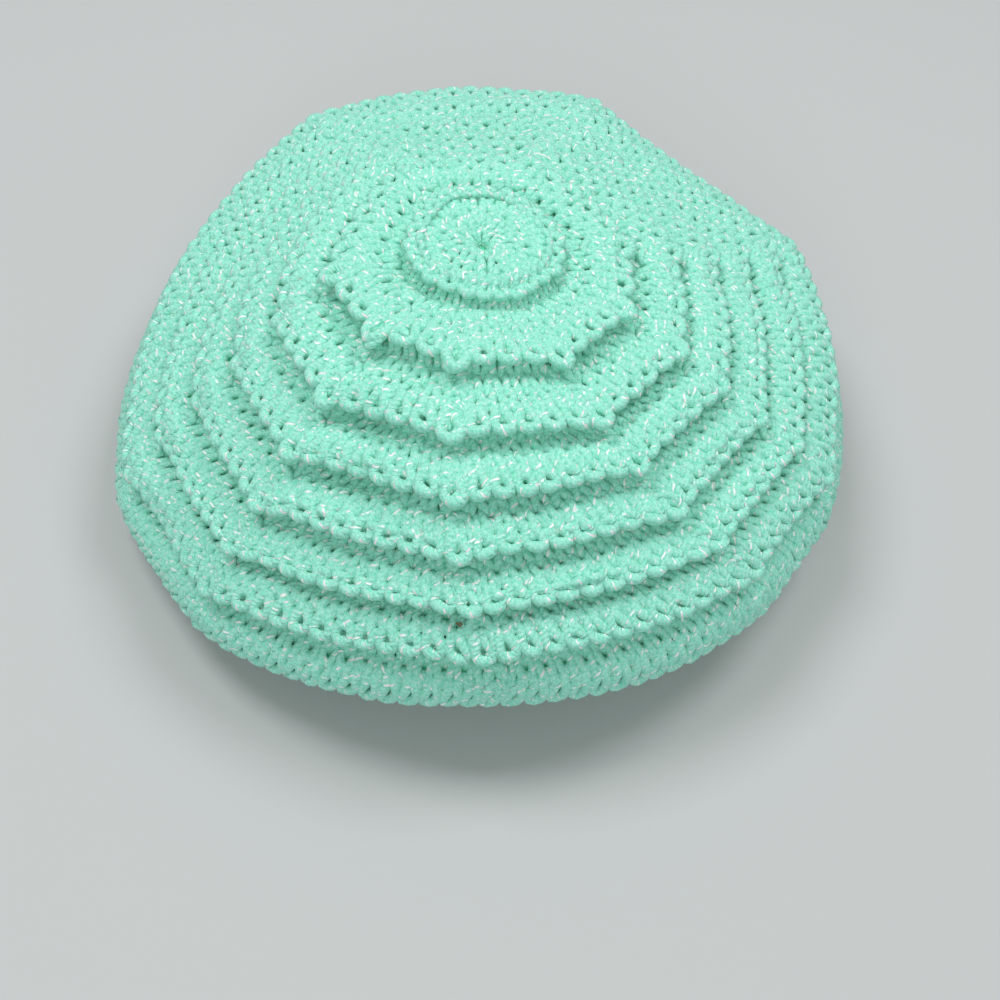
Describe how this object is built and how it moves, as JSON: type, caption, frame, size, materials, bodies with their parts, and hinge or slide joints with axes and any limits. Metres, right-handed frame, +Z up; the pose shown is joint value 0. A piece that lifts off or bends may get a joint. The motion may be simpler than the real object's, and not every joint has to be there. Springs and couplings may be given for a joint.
{
  "type": "knitted beret",
  "caption": "Slouchy knitted beret with ridged wedges running from a gathered crown centre to a full rim, on a ribbed head band.",
  "frame": {"origin": "centre of the bounding box in X and Y, at the foot of the head band, on the surface that the hat rests on", "axes": "+Z up through the crown, -Y towards the back of the hat, +X to the viewer's right when the back is seen"},
  "size_m": [0.2254, 0.2346, 0.1044],
  "materials": {
    "yarn": "fuzzy mint acrylic yarn with a pale glossy ply"
  },
  "bodies": {
    "root": {"beret": "yarn"}
  },
  "joints": []
}
